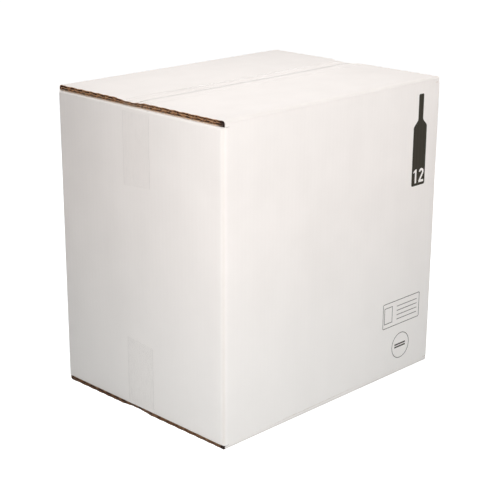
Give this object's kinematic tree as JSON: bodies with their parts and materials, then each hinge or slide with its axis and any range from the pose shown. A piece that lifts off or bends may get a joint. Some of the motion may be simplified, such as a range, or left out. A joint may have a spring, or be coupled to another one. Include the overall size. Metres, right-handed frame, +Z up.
{
  "type": "bottle shipping box",
  "caption": "Upright slotted corrugated carton for shipping bottles, taped shut over the top and bottom seams, with slotted dividers inside.",
  "frame": {"origin": "middle of the footprint, on the surface that the box stands on", "axes": "+X along the long side, +Y away from the printed long face towards the back, +Z up"},
  "size_m": [0.3964, 0.296, 0.4004],
  "materials": {
    "carton_board": "white-faced double-wall corrugated board, matt, brown at its cut edges",
    "tape_film": "clear polypropylene packing tape, smooth and slightly glossy",
    "inner_board": "plain brown single-wall corrugated board, matt"
  },
  "bodies": {
    "root": {"carton": "carton_board", "top_tape": "tape_film", "bottom_tape": "tape_film", "bottom_pad": "inner_board", "top_pad": "inner_board", "long_divider_1": "inner_board", "long_divider_2": "inner_board", "cross_divider_1": "inner_board", "cross_divider_2": "inner_board", "cross_divider_3": "inner_board"}
  },
  "joints": []
}
